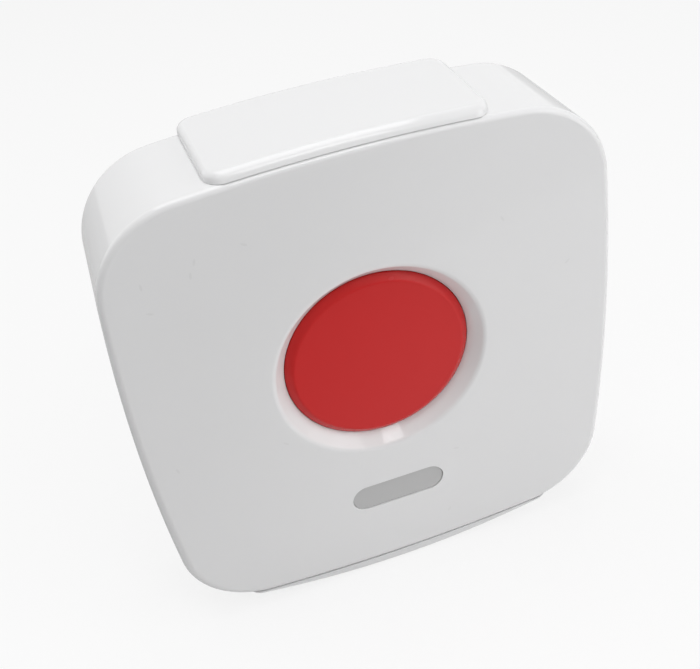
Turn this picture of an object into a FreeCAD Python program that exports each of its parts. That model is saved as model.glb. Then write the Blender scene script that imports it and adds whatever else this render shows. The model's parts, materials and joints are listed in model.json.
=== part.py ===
import FreeCAD, Part
import math
import os
import re
import Sketcher
from FreeCAD import Placement, Rotation, Vector

# Panic button: a press button in a bowed square case that a bracket holds on the wall.
# Millimetres. The row's origin is the middle of the bracket's wall face: X right, front faces -Y, Z up.
# Every body is drawn lying on its back: x right, y up the wall, z the distance in front of the wall.

os.makedirs("parts", exist_ok=True)
doc = FreeCAD.newDocument("PanicButton")
sheet = doc.addObject("Spreadsheet::Sheet", "Sheet")

SIZES = {
    # case outline
    "case_width": 86,
    "case_height": 88,
    "case_depth": 21.5,
    "side_bow": 340,
    "top_bow": 320,
    "corner_round": 15.5,
    # case walls
    "face_wall": 2.2,
    "main_wall": 2.4,
    "rim_wall": 1.4,
    "rim_depth": 2.8,
    "front_round": 1.8,
    "back_round": 0.5,
    # bracket
    "plate_thick": 2,
    "seat_gap": 0.2,
    "arm_gap": 0.15,
    "arm_thick": 1.5,
    "arm_setback": 0.9,
    "bracket_width": 48.4,
    "bracket_corner": 3,
    "arm_round": 1.1,
    "ledge_half": 29,
    "ledge_bow": 155,
    "ledge_drop": 2.05,
    "ledge_start": 35,
    "ledge_round": 0.35,
    "wall_pitch": 60,
    "wall_hole": 2.1,
    "wall_sink": 1.4,
    # collar round the button
    "button_rise": 3.85,
    "dish_mouth": 18.8,
    "dish_depth": 2.6,
    "collar_round": 1,
    "hole_radius": 16.7,
    "lip_thick": 1.2,
    "sleeve_bore": 18,
    "sleeve_wall": 1.6,
    "ring_level": 12.9,
    # button cap
    "cap_radius": 16.5,
    "cap_drop": 1.5,
    "cap_round": 1.2,
    "cap_top": 1.8,
    "cap_wall": 1.6,
    "cap_travel": 1.8,
    "cap_rest_gap": 0.05,
    "slide_fit": 0.08,
    "skirt_gap": 0.1,
    "flange_drop": 1.45,
    "stem_radius": 2.6,
    "guide_bore": 6.2,
    "guide_wall": 1,
    "guide_length": 2.5,
    "rib_thick": 1,
    "rib_height": 2,
    "rib_start": 8.9,
    # retainer
    "ring_thick": 1.6,
    "ring_bore": 6.6,
    "seat_radius": 10,
    "rim_bore": 16.8,
    "ear_reach": 22.6,
    "ear_radius": 3.2,
    "ear_angle": 75,
    "spoke_width": 5,
    # return spring
    "coil_radius": 8,
    "coil_wire": 0.8,
    "coil_pitch": 1.65,
    "coil_gap": 0.05,
    # circuit board
    "board_gap": 6,
    "board_space": 1.7,
    "board_margin": 16.5,
    "board_level": 9.7,
    "board_thick": 1.6,
    "post_margin": 3.5,
    "post_radius": 2.6,
    # push switch
    "switch_half": 4.25,
    "switch_height": 4,
    "plunger_radius": 1.7,
    "plunger_gap": 0.05,
    "plunger_fit": 0.05,
    "collar_radius": 2.5,
    "collar_thick": 0.65,
    "switch_lid": 0.6,
    # small screws
    "small_bore": 0.95,
    "small_shank": 0.9,
    "small_hole": 1.2,
    "small_head": 2.1,
    "small_head_height": 1.2,
    "small_length": 5.5,
    # case screws and rear cover
    "case_post_inset": 11.5,
    "case_post_radius": 3.4,
    "case_bore": 1.3,
    "case_shank": 1.25,
    "case_hole": 1.5,
    "case_head": 2.4,
    "case_head_height": 1.1,
    "case_length": 9,
    "case_sink": 2.5,
    "case_sink_depth": 1.2,
    "cover_thick": 2,
    "cover_fit": 0.15,
    "drive_slot": 0.5,
    "drive_depth": 0.6,
    # seal
    "seal_outer": 1.6,
    "seal_inner": 2.3,
    # battery well, cell and door
    "well_inset": 11.5,
    "well_half": 5.5,
    "well_wall": 1.3,
    "well_reach": 17,
    "well_floor": 14.4,
    "well_floor_thick": 1.2,
    "cell_radius": 5.15,
    "cell_level": 9,
    "cell_length": 27.7,
    "cell_nub": 1.9,
    "cell_nub_height": 0.8,
    "cell_end": 16.55,
    "contact_thick": 0.4,
    "contact_half": 5,
    "contact_slot": 0.5,
    "contact_foot": 2.5,
    "contact_low": 4.4,
    "contact_high": 14.2,
    "tag_height": 2.5,
    "contact_wire": 0.6,
    "contact_coil": 3.2,
    "contact_pitch": 1.5,
    "door_thick": 1.4,
    "door_half": 6.6,
    "door_reach": 18.1,
    "door_fit": 0.15,
    "door_grip": 4,
    "door_grip_depth": 0.5,
    # badge
    "badge_half": 8.95,
    "badge_radius": 2.8,
    "badge_drop": 26.3,
    "badge_thick": 0.5,
    "badge_inset": 0.2,
    "badge_fit": 0.05,
    # radio
    "radio_inset": 6.7,
    "radio_drop": 16,
    "radio_half_x": 6.5,
    "radio_half_y": 8,
    "radio_thick": 0.8,
    "can_half_x": 5.2,
    "can_half_y": 5,
    "can_height": 2.2,
    "can_wall": 0.25,
    "antenna_inset": 10,
    "antenna_margin": 7,
    "antenna_radius": 2.5,
    "antenna_wire": 0.6,
    "antenna_pitch": 2,
    "antenna_turns": 5.5,
    "antenna_level": 12.9,
    "lead_length": 5.2,
    # other board parts
    "chip_x": -12,
    "chip_y": 10,
    "chip_half": 3.5,
    "chip_thick": 1.2,
    "capacitor_x": 8,
    "capacitor_margin": 4.5,
    "capacitor_radius": 2.5,
    "capacitor_height": 5,
    "crystal_x": -6,
    "crystal_margin": 4.5,
    "crystal_half": 5.2,
    "crystal_radius": 2.2,
    "crystal_height": 3.4,
    # pairing switch
    "pairing_x": -10,
    "pairing_y": -16,
    "pairing_half": 3,
    "pairing_height": 2.6,
    "pairing_key": 1.7,
    "pairing_proud": 0.7,
    "pairing_depth": 0.8,
    "pairing_travel": 0.25,
    "pairing_hole": 1,
}
for row, (name, number) in enumerate(SIZES.items(), 1):
    sheet.set(f"A{row}", name)
    sheet.set(f"B{row}", str(number))
    sheet.setAlias(f"B{row}", name)
doc.recompute()

# levels in front of the wall
CASE_BACK = "(plate_thick + seat_gap)"
CASE_FRONT = "(plate_thick + seat_gap + case_depth)"
FACE_INSIDE = f"({CASE_FRONT} - face_wall)"
COVER_INSIDE = f"({CASE_BACK} + cover_thick)"
BOARD_BACK = "(board_level - board_thick)"
LIP_BACK = f"({CASE_FRONT} - dish_depth - lip_thick)"
CAP_TOP = f"({CASE_FRONT} - cap_drop)"
CAP_INSIDE = f"({CAP_TOP} - cap_top)"
FLANGE_TOP = f"({LIP_BACK} - cap_rest_gap)"
SKIRT_FOOT = "(ring_level + cap_travel + skirt_gap)"
SWITCH_TOP = "(board_level + switch_height)"
PLUNGER_TOP = "(board_level + switch_height + cap_travel + 0.7)"
SLEEVE_OUTER = "(sleeve_bore + sleeve_wall)"

# places inside the case
CASE_POST_X = "(case_width / 2 - case_post_inset)"
CASE_POST_Y = "(case_height / 2 - case_post_inset)"
WELL_MIDDLE = "(case_width / 2 - well_inset)"
BOARD_LEFT = "(board_gap - case_width / 2)"
BOARD_RIGHT = f"({WELL_MIDDLE} - well_half - well_wall - board_space)"
BOARD_HALF = "(case_height / 2 - board_margin)"
RADIO_X = f"({BOARD_LEFT} + radio_inset)"
RADIO_Y = f"({BOARD_HALF} - radio_drop)"
ANTENNA_X = f"({BOARD_LEFT} + antenna_inset)"
ANTENNA_Y = f"(antenna_margin - {BOARD_HALF})"
CAPACITOR_Y = f"(capacitor_margin - {BOARD_HALF})"
CRYSTAL_Y = f"(crystal_margin - {BOARD_HALF})"

WORD = re.compile(r"[a-z_]+")
UPRIGHT = Rotation(Vector(1, 0, 0), 90)
PIECES = []


def size(text):
    """Value of an expression in the sheet's names."""
    return float(sheet.evalExpression(text))


def sheet_name(match):
    return "Sheet." + match.group(0) if match.group(0) in SIZES else match.group(0)


def tie(thing, target, text):
    """Bind a property to an expression in the sheet's names."""
    thing.setExpression(target, WORD.sub(sheet_name, text))


def new_body(name, x="0", y="0"):
    """Body lying on its back, stood up on the wall at x and y."""
    body = doc.addObject("PartDesign::Body", name)
    body.Label = name
    body.Placement = Placement(Vector(size(x), 0, size(y)), UPRIGHT)
    tie(body, "Placement.Base.x", x)
    tie(body, "Placement.Base.z", y)
    PIECES.append(body)
    return body


def new_sketch(body, level="0", x="0", y="0", role="XY_Plane"):
    """Sketch on an origin plane of the body, lifted along the plane's own normal."""
    sketch = body.newObject("Sketcher::SketchObject", body.Name + "_sketch")
    plane = next(item for item in body.Origin.OriginFeatures if item.Role == role)
    sketch.AttachmentSupport = [(plane, "")]
    sketch.MapMode = "FlatFace"
    sketch.AttachmentOffset = Placement(Vector(size(x), size(y), size(level)), Rotation())
    tie(sketch, "AttachmentOffset.Base.x", x)
    tie(sketch, "AttachmentOffset.Base.y", y)
    tie(sketch, "AttachmentOffset.Base.z", level)
    return sketch


def profile_sketch(body, x="0", y="0"):
    """Sketch of a turned profile: its x is the radius, its y the distance from the wall."""
    return new_sketch(body, level=f"-1 * ({y})", x=x, role="XZ_Plane")


def limit(sketch, kind, text, *targets):
    """Dimension tied to the sheet."""
    index = sketch.addConstraint(Sketcher.Constraint(kind, *targets, size(text)))
    tie(sketch, f"Constraints[{index}]", text)


def pin(sketch, geometry, point, x, y):
    """Hold a point of the sketch at x and y."""
    for kind, axis, text in (("DistanceX", -2, x), ("DistanceY", -1, y)):
        if abs(size(text)) < 1e-9:
            sketch.addConstraint(Sketcher.Constraint("PointOnObject", geometry, point, axis))
        else:
            limit(sketch, kind, text, -1, 1, geometry, point)


def polygon(sketch, corners):
    spots = [Vector(size(x), size(y), 0) for x, y in corners]
    count = len(spots)
    first = sketch.GeometryCount
    for i in range(count):
        sketch.addGeometry(Part.LineSegment(spots[i], spots[(i + 1) % count]))
    for i in range(count):
        after = first + (i + 1) % count
        sketch.addConstraint(Sketcher.Constraint("Coincident", first + i, 2, after, 1))
    for i, (x, y) in enumerate(corners):
        pin(sketch, first + i, 1, x, y)


def box(sketch, left, right, low, high):
    polygon(sketch, [(left, low), (right, low), (right, high), (left, high)])


def circle(sketch, x, y, radius):
    middle = Vector(size(x), size(y), 0)
    index = sketch.addGeometry(Part.Circle(middle, Vector(0, 0, 1), size(radius)))
    pin(sketch, index, 3, x, y)
    limit(sketch, "Radius", radius, index)


def tangent_loop(sketch, arcs):
    """Arcs (x, y, radius, start, end), joined smoothly, by a line where their ends are apart.

    A centre given as a number is left to the tangency."""
    chain = []
    ends = []
    for x, y, radius, start, end in arcs:
        free = not isinstance(x, str)
        middle = Vector(x, y, 0) if free else Vector(size(x), size(y), 0)
        reach = size(radius)
        turned = Part.Circle(middle, Vector(0, 0, 1), reach)
        arc = Part.ArcOfCircle(turned, math.radians(start), math.radians(end))
        ends.append((arc.StartPoint, arc.EndPoint))
        chain.append((sketch.addGeometry(arc), free))
    links = []
    for i, (arc, free) in enumerate(chain):
        after = (i + 1) % len(chain)
        links.append(arc)
        if (ends[i][1] - ends[after][0]).Length > 1e-4:
            links.append(sketch.addGeometry(Part.LineSegment(ends[i][1], ends[after][0])))
    for i, link in enumerate(links):
        after = links[(i + 1) % len(links)]
        sketch.addConstraint(Sketcher.Constraint("Tangent", link, 2, after, 1))
    for (arc, free), (x, y, radius, start, end) in zip(chain, arcs):
        if not free:
            pin(sketch, arc, 3, x, y)
        limit(sketch, "Radius", radius, arc)


def squircle(sketch, inset="0"):
    """Outline of the case, moved inwards: four shallow bows and four round corners."""
    bow_x = size("case_width / 2 - side_bow")
    bow_y = size("case_height / 2 - top_bow")
    reach_x = size("side_bow - corner_round")
    reach_y = size("top_bow - corner_round")
    span = math.hypot(bow_x, bow_y)
    along = (reach_x**2 - reach_y**2 + span**2) / (2 * span)
    aside = math.sqrt(reach_x**2 - along**2)
    # unit vector from the side bow's centre to the top bow's centre
    step = Vector(-bow_x / span, bow_y / span, 0)
    spots = []
    for sign in (1, -1):
        spots.append(Vector(bow_x, 0, 0) + step * along + Vector(-step.y, step.x, 0) * (aside * sign))
    corner = max(spots, key=lambda spot: spot.x + spot.y)
    tilt = math.degrees(math.atan2(corner.y, corner.x - bow_x))
    lean = math.degrees(math.atan2(corner.y - bow_y, corner.x))
    bow_x = "(case_width / 2 - side_bow)"
    bow_y = "(case_height / 2 - top_bow)"
    side = f"side_bow - {inset}"
    top = f"top_bow - {inset}"
    turn = f"corner_round - {inset}"
    tangent_loop(sketch, [
        (bow_x, "0", side, -tilt, tilt),
        (corner.x, corner.y, turn, tilt, lean),
        ("0", bow_y, top, lean, 180 - lean),
        (-corner.x, corner.y, turn, 180 - lean, 180 - tilt),
        (f"-1 * {bow_x}", "0", side, 180 - tilt, 180 + tilt),
        (-corner.x, -corner.y, turn, 180 + tilt, 180 + lean),
        ("0", f"-1 * {bow_y}", top, 180 + lean, 360 - lean),
        (corner.x, -corner.y, turn, 360 - lean, 360 - tilt),
    ])


def rounded(sketch, left, right, low, high, radius):
    """Rectangle with round corners."""
    x0 = f"{left} + {radius}"
    x1 = f"{right} - {radius}"
    y0 = f"{low} + {radius}"
    y1 = f"{high} - {radius}"
    tangent_loop(sketch, [
        (x1, y0, radius, 270, 360),
        (x1, y1, radius, 0, 90),
        (x0, y1, radius, 90, 180),
        (x0, y0, radius, 180, 270),
    ])


def pill(sketch, x, y, half, radius):
    """Bar with full-round ends."""
    tangent_loop(sketch, [
        (f"{x} + ({half}) - ({radius})", y, radius, -90, 90),
        (f"{x} - ({half}) + ({radius})", y, radius, 90, 270),
    ])


def bowed_block(sketch, half, offset):
    """Block between the case's top and bottom bows, moved outwards, with straight ends."""
    reach = size(f"top_bow + {offset}")
    middle = size("case_height / 2 - top_bow")
    side = size(half)
    rise = middle + math.sqrt(reach**2 - side**2)
    lean = math.asin(side / reach)
    upper = Part.Circle(Vector(0, middle, 0), Vector(0, 0, 1), reach)
    lower = Part.Circle(Vector(0, -middle, 0), Vector(0, 0, 1), reach)
    sketch.addGeometry(Part.ArcOfCircle(upper, math.pi / 2 - lean, math.pi / 2 + lean))
    sketch.addGeometry(Part.LineSegment(Vector(-side, rise, 0), Vector(-side, -rise, 0)))
    sketch.addGeometry(Part.ArcOfCircle(lower, -math.pi / 2 - lean, -math.pi / 2 + lean))
    sketch.addGeometry(Part.LineSegment(Vector(side, -rise, 0), Vector(side, rise, 0)))
    for i in range(4):
        sketch.addConstraint(Sketcher.Constraint("Coincident", i, 2, (i + 1) % 4, 1))
    pin(sketch, 0, 3, "0", "case_height / 2 - top_bow")
    pin(sketch, 2, 3, "0", "top_bow - case_height / 2")
    for arc in (0, 2):
        limit(sketch, "Radius", f"top_bow + {offset}", arc)
    for line, sign in ((1, "-1"), (3, "1")):
        sketch.addConstraint(Sketcher.Constraint("Vertical", line))
        limit(sketch, "DistanceX", f"{sign} * ({half})", -1, 1, line, 1)


def arched_block(sketch, half, base, middle, radius, sign):
    """Block from a level out to an arc above it (sign 1) or below it (sign -1)."""
    side = size(half)
    foot = size(base)
    reach = size(radius)
    lean = math.asin(side / reach)
    rise = size(middle) + sign * math.sqrt(reach**2 - side**2)
    turn = sign * math.pi / 2
    ring = Part.Circle(Vector(0, size(middle), 0), Vector(0, 0, 1), reach)
    sketch.addGeometry(Part.ArcOfCircle(ring, turn - lean, turn + lean))
    end = -sign * side
    corners = [(end, rise), (end, foot), (-end, foot), (-end, rise)]
    for tail, head in zip(corners, corners[1:]):
        sketch.addGeometry(Part.LineSegment(Vector(*tail, 0), Vector(*head, 0)))
    for i in range(4):
        sketch.addConstraint(Sketcher.Constraint("Coincident", i, 2, (i + 1) % 4, 1))
    pin(sketch, 0, 3, "0", middle)
    limit(sketch, "Radius", radius, 0)
    for line in (1, 3):
        sketch.addConstraint(Sketcher.Constraint("Vertical", line))
    pin(sketch, 2, 1, f"{-sign} * ({half})", base)
    pin(sketch, 2, 2, f"{sign} * ({half})", base)


def feature(body, kind, **links):
    """New feature of a body, and the volume that the body had before it."""
    tip = body.Tip
    solid = tip and tip.isDerivedFrom("PartDesign::Feature")
    before = tip.Shape.Volume if solid else 0.0
    made = body.newObject("PartDesign::" + kind, f"{body.Name}_{kind.lower()}")
    for name, link in links.items():
        setattr(made, name, link)
    body.Tip = made
    return made, before


def finish(made, before, grows):
    """Recompute, and make sure the feature added or removed material."""
    doc.recompute()
    gain = made.Shape.Volume - before
    if (gain > 0) != grows:
        raise ValueError(f"{made.Name} changed the volume by {gain:.3f}")
    return made


def pad(body, sketch, length, up=True):
    made, before = feature(body, "Pad", Profile=sketch, Reversed=not up)
    tie(made, "Length", length)
    return finish(made, before, True)


def pocket(body, sketch, length, up=True):
    made, before = feature(body, "Pocket", Profile=sketch, Reversed=up)
    tie(made, "Length", length)
    return finish(made, before, False)


def turn(body, sketch):
    made, before = feature(body, "Revolution", Profile=sketch)
    made.ReferenceAxis = (sketch, ["V_Axis"])
    made.Angle = 360
    return finish(made, before, True)


def groove(body, sketch):
    made, before = feature(body, "Groove", Profile=sketch)
    made.ReferenceAxis = (sketch, ["V_Axis"])
    made.Angle = 360
    return finish(made, before, False)


def repeat(body, original, sketch, count, grows=True):
    """Copies of a feature round the sketch's own normal."""
    made, before = feature(body, "PolarPattern", Originals=[original])
    made.Axis = (sketch, ["N_Axis"])
    made.Angle = 360
    made.Occurrences = count
    return finish(made, before, grows)


def coil(body, sketch, pitch, height):
    """Wire wound up the sketch's own y axis."""
    made, before = feature(body, "AdditiveHelix", Profile=sketch)
    made.ReferenceAxis = (sketch, ["V_Axis"])
    made.Mode = "pitch-height-angle"
    tie(made, "Pitch", pitch)
    tie(made, "Height", height)
    made.Angle = 0
    return finish(made, before, True)


def edge_names(shape, test):
    """Names of the edges whose every sampled point passes the test."""
    names = []
    for i, edge in enumerate(shape.Edges, 1):
        if edge.Length > 0.02 and all(test(spot) for spot in edge.discretize(5)):
            names.append(f"Edge{i}")
    return names


def soften(body, radius, test, kind="Fillet"):
    """Fillet or chamfer on the edges that pass the test."""
    base = body.Tip
    names = edge_names(base.Shape, test)
    if not names:
        raise ValueError(f"{body.Name} has no edge to soften")
    made, before = feature(body, kind, Base=(base, names))
    tie(made, "Radius" if kind == "Fillet" else "Size", radius)
    doc.recompute()
    if not made.Shape.isValid() or near(made.Shape.Volume, before):
        raise ValueError(f"{made.Name} is not sound")
    return made


def near(one, other):
    return abs(one - other) < 1e-3


def screws(name, spots, head_level, head, height, shank, length):
    """Screws driven from the back: low heads with a cross recess and plain shanks."""
    body = new_body(name)
    sketch = new_sketch(body, f"{head_level} - {height}")
    for x, y in spots:
        circle(sketch, x, y, head)
    pad(body, sketch, height)
    soften(body, f"{height} * 0.3", lambda spot: near(spot.z, size(f"{head_level} - {height}")))
    sketch = new_sketch(body, head_level)
    for x, y in spots:
        circle(sketch, x, y, shank)
    pad(body, sketch, length)
    for wide, tall in ((f"{head} * 0.6", "drive_slot / 2"), ("drive_slot / 2", f"{head} * 0.6")):
        sketch = new_sketch(body, f"{head_level} - {height}")
        for x, y in spots:
            box(sketch, f"{x} - {wide}", f"{x} + {wide}", f"{y} - {tall}", f"{y} + {tall}")
        pocket(body, sketch, "drive_depth")
    return body


CASE_SPOTS = [
    (CASE_POST_X, CASE_POST_Y),
    (f"-1 * {CASE_POST_X}", CASE_POST_Y),
    (f"-1 * {CASE_POST_X}", f"-1 * {CASE_POST_Y}"),
    (CASE_POST_X, f"-1 * {CASE_POST_Y}"),
]
POST_Y = f"({BOARD_HALF} - post_margin)"
BOARD_SPOTS = [
    (f"{BOARD_RIGHT} - post_margin", POST_Y),
    (f"{BOARD_LEFT} + post_margin", POST_Y),
    (f"{BOARD_LEFT} + post_margin", f"-1 * {POST_Y}"),
    (f"{BOARD_RIGHT} - post_margin", f"-1 * {POST_Y}"),
]
EAR_X = "ear_reach * cos(ear_angle)"
EAR_Y = "ear_reach * sin(ear_angle)"
EAR_SPOTS = []
for step in (0, 120, 240):
    across = f"ear_reach * cos(ear_angle + {step})"
    EAR_SPOTS.append((across, f"button_rise + ear_reach * sin(ear_angle + {step})"))


def make_bracket():
    """Wall plate, the arm that grips the case from above and the wider ledge that it stands on."""
    body = new_body("wall_bracket")
    arm_front = CASE_FRONT + " - arm_setback"
    half = "bracket_width / 2"
    foot = "-1 * ledge_start"
    arm_middle = "case_height / 2 - top_bow"
    arm_bow = "top_bow + arm_gap + arm_thick"
    ledge_middle = "ledge_bow - ledge_drop - case_height / 2"
    sketch = new_sketch(body)
    arched_block(sketch, half, foot, arm_middle, arm_bow, 1)
    pad(body, sketch, arm_front)
    sketch = new_sketch(body)
    arched_block(sketch, "ledge_half", foot, ledge_middle, "ledge_bow", -1)
    pad(body, sketch, arm_front)
    sketch = new_sketch(body, "plate_thick")
    bowed_block(sketch, "ledge_half + 1", "arm_gap")
    pocket(body, sketch, CASE_FRONT)
    # round plan corners, cut upwards through the ledge, then through the arm
    for reach, level, depth in (
        ("ledge_half", "case_height", "case_height - ledge_start"),
        (half, "ledge_start", "case_height + ledge_start"),
    ):
        sketch = new_sketch(body, level, role="XZ_Plane")
        box(sketch, f"-1 * {reach} - 5", f"{reach} + 5", "-5", f"{arm_front} + 5")
        rounded(sketch, f"-1 * {reach}", reach, "0", arm_front, "bracket_corner")
        pocket(body, sketch, depth, up=False)
    for width, middle, radius, sign in (
        ("arm_round", arm_middle, arm_bow, 1),
        ("ledge_round", ledge_middle, "ledge_bow", -1),
    ):
        centre = size(middle)
        reach = size(radius)
        soften(body, width, lambda spot: sign * spot.y > 0
               and near(math.hypot(spot.x, spot.y - centre), reach))
    sketch = new_sketch(body)
    for sign in ("1", "-1"):
        circle(sketch, "0", f"{sign} * wall_pitch / 2", "wall_hole")
    pocket(body, sketch, "plate_thick")
    thick = size("plate_thick")
    hole = size("wall_hole")
    rise = size("wall_pitch / 2")
    soften(body, "wall_sink", lambda spot: near(spot.z, thick)
           and near(math.hypot(spot.x, abs(spot.y) - rise), hole), "Chamfer")


def make_front_cover():
    """Face and side walls in one moulding, with the dished collar, sleeve and screw posts."""
    body = new_body("front_cover")
    front = size(CASE_FRONT)
    back = size(CASE_BACK)
    sketch = new_sketch(body, CASE_BACK)
    squircle(sketch)
    pad(body, sketch, "case_depth")
    soften(body, "front_round", lambda spot: near(spot.z, front))
    soften(body, "back_round", lambda spot: near(spot.z, back))
    sketch = new_sketch(body, CASE_BACK)
    squircle(sketch, "main_wall")
    pocket(body, sketch, "case_depth - face_wall")
    sketch = new_sketch(body, CASE_BACK)
    squircle(sketch, "rim_wall")
    pocket(body, sketch, "rim_depth")
    # sleeve that guides the cap, and the bosses of its retainer
    sketch = new_sketch(body, "ring_level", y="button_rise")
    circle(sketch, "0", "0", SLEEVE_OUTER)
    pad(body, sketch, f"{FACE_INSIDE} - ring_level")
    sketch = new_sketch(body, "ring_level", y="button_rise")
    circle(sketch, EAR_X, EAR_Y, "ear_radius")
    boss = pad(body, sketch, f"{FACE_INSIDE} - ring_level")
    repeat(body, boss, sketch, 3)
    # bore, lip and dish
    sketch = profile_sketch(body, y="button_rise")
    polygon(sketch, [
        ("0", "ring_level - 1"),
        ("sleeve_bore", "ring_level - 1"),
        ("sleeve_bore", LIP_BACK),
        ("hole_radius", LIP_BACK),
        ("hole_radius", f"{CASE_FRONT} - dish_depth"),
        ("dish_mouth", CASE_FRONT),
        ("dish_mouth", f"{CASE_FRONT} + 1"),
        ("0", f"{CASE_FRONT} + 1"),
    ])
    groove(body, sketch)
    rise = size("button_rise")
    mouth = size("dish_mouth")
    soften(body, "collar_round", lambda spot: near(spot.z, front)
           and near(math.hypot(spot.x, spot.y - rise), mouth))
    # posts for the case screws and the board
    sketch = new_sketch(body, COVER_INSIDE)
    for x, y in CASE_SPOTS:
        circle(sketch, x, y, "case_post_radius")
    pad(body, sketch, f"{FACE_INSIDE} - {COVER_INSIDE}")
    sketch = new_sketch(body, "board_level")
    for x, y in BOARD_SPOTS:
        circle(sketch, x, y, "post_radius")
    pad(body, sketch, f"{FACE_INSIDE} - board_level")
    # screw bores
    sketch = new_sketch(body, COVER_INSIDE)
    for x, y in CASE_SPOTS:
        circle(sketch, x, y, "case_bore")
    pocket(body, sketch, "case_length + 1")
    for level, spots in (("board_level", BOARD_SPOTS), ("ring_level", EAR_SPOTS)):
        sketch = new_sketch(body, level)
        for x, y in spots:
            circle(sketch, x, y, "small_bore")
        pocket(body, sketch, "small_length")
    # pocket for the badge
    sketch = new_sketch(body, CASE_FRONT)
    pill(sketch, "0", "-1 * badge_drop", "badge_half + badge_fit", "badge_radius + badge_fit")
    pocket(body, sketch, "badge_thick + badge_inset", up=False)


def make_badge():
    """Bare pill-shaped plate in the face."""
    body = new_body("badge_plate", y="-1 * badge_drop")
    level = f"{CASE_FRONT} - badge_inset"
    sketch = new_sketch(body, level)
    pill(sketch, "0", "0", "badge_half", "badge_radius")
    pad(body, sketch, "badge_thick", up=False)
    soften(body, "badge_thick * 0.3", lambda spot: near(spot.z, size(level)))


def make_cap():
    """Press cap: flat top, skirt behind the lip, stem for the switch and ribs."""
    body = new_body("button_cap", y="button_rise")
    flange = "sleeve_bore - slide_fit"
    step = f"{FLANGE_TOP} - flange_drop"
    sketch = profile_sketch(body)
    polygon(sketch, [
        ("0", CAP_INSIDE),
        ("cap_radius - cap_wall", CAP_INSIDE),
        ("cap_radius - cap_wall", step),
        (f"{flange} - cap_wall", step),
        (f"{flange} - cap_wall", SKIRT_FOOT),
        (flange, SKIRT_FOOT),
        (flange, FLANGE_TOP),
        ("cap_radius", FLANGE_TOP),
        ("cap_radius", CAP_TOP),
        ("0", CAP_TOP),
    ])
    turn(body, sketch)
    top = size(CAP_TOP)
    soften(body, "cap_round", lambda spot: near(spot.z, top))
    sketch = new_sketch(body, PLUNGER_TOP + " + plunger_gap")
    circle(sketch, "0", "0", "stem_radius")
    pad(body, sketch, f"{CAP_INSIDE} - {PLUNGER_TOP} - plunger_gap")
    sketch = new_sketch(body, f"{CAP_INSIDE} - guide_length")
    circle(sketch, "0", "0", "guide_bore")
    circle(sketch, "0", "0", "guide_bore + guide_wall")
    pad(body, sketch, "guide_length")
    sketch = new_sketch(body, f"{CAP_INSIDE} - rib_height")
    box(sketch, "rib_start", "cap_radius - cap_wall + 0.3", "-1 * rib_thick / 2", "rib_thick / 2")
    rib = pad(body, sketch, "rib_height")
    repeat(body, rib, sketch, 6)


def make_retainer():
    """Spoked ring screwed under the sleeve: keeps the cap in and seats its spring."""
    body = new_body("button_retainer", y="button_rise")
    sketch = new_sketch(body, "ring_level")
    circle(sketch, "0", "0", SLEEVE_OUTER)
    circle(sketch, "0", "0", "rim_bore")
    circle(sketch, "0", "0", "seat_radius")
    circle(sketch, "0", "0", "ring_bore")
    pad(body, sketch, "ring_thick", up=False)
    sketch = new_sketch(body, "ring_level")
    box(sketch, "-1 * spoke_width / 2", "spoke_width / 2", "seat_radius - 1", "rim_bore + 1")
    spoke = pad(body, sketch, "ring_thick", up=False)
    repeat(body, spoke, sketch, 3)
    sketch = new_sketch(body, "ring_level")
    circle(sketch, EAR_X, EAR_Y, "ear_radius")
    ear = pad(body, sketch, "ring_thick", up=False)
    repeat(body, ear, sketch, 3)
    sketch = new_sketch(body, "ring_level")
    circle(sketch, EAR_X, EAR_Y, "small_hole")
    hole = pocket(body, sketch, "ring_thick", up=False)
    repeat(body, hole, sketch, 3, grows=False)


def make_spring():
    """Return spring between the retainer and the cap."""
    body = new_body("return_spring", y="button_rise")
    sketch = profile_sketch(body)
    circle(sketch, "coil_radius", "ring_level + coil_gap + coil_wire / 2", "coil_wire / 2")
    coil(body, sketch, "coil_pitch", f"{CAP_INSIDE} - ring_level - 2 * coil_gap - coil_wire")


def make_board():
    """Main circuit board with its four screw holes and the antenna's two lead holes."""
    body = new_body("circuit_board")
    sketch = new_sketch(body, BOARD_BACK)
    rounded(sketch, BOARD_LEFT, BOARD_RIGHT, f"-1 * {BOARD_HALF}", BOARD_HALF, "1.5")
    for x, y in BOARD_SPOTS:
        circle(sketch, x, y, "small_hole")
    circle(sketch, f"{ANTENNA_X} + antenna_radius", ANTENNA_Y, "antenna_wire")
    end = f"{ANTENNA_Y} + antenna_turns * antenna_pitch"
    circle(sketch, f"{ANTENNA_X} - antenna_radius", end, "antenna_wire")
    pad(body, sketch, "board_thick")


def make_switch():
    """Push switch behind the stem, with its own plunger."""
    body = new_body("push_switch_body", y="button_rise")
    sketch = new_sketch(body, "board_level")
    rounded(sketch, "-1 * switch_half", "switch_half", "-1 * switch_half", "switch_half", "0.5")
    pad(body, sketch, "switch_height")
    bore = "plunger_radius + plunger_fit"
    chamber = "collar_radius + plunger_fit"
    floor = "board_level + 0.5"
    lid = f"{SWITCH_TOP} - switch_lid"
    sketch = profile_sketch(body)
    polygon(sketch, [
        ("0", floor),
        (chamber, floor),
        (chamber, lid),
        (bore, lid),
        (bore, f"{SWITCH_TOP} + 1"),
        ("0", f"{SWITCH_TOP} + 1"),
    ])
    groove(body, sketch)
    body = new_body("push_switch_plunger", y="button_rise")
    collar_top = f"{lid} - plunger_gap"
    sketch = profile_sketch(body)
    polygon(sketch, [
        ("0", f"{collar_top} - collar_thick"),
        ("collar_radius", f"{collar_top} - collar_thick"),
        ("collar_radius", collar_top),
        ("plunger_radius", collar_top),
        ("plunger_radius", PLUNGER_TOP),
        ("0", PLUNGER_TOP),
    ])
    turn(body, sketch)


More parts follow.
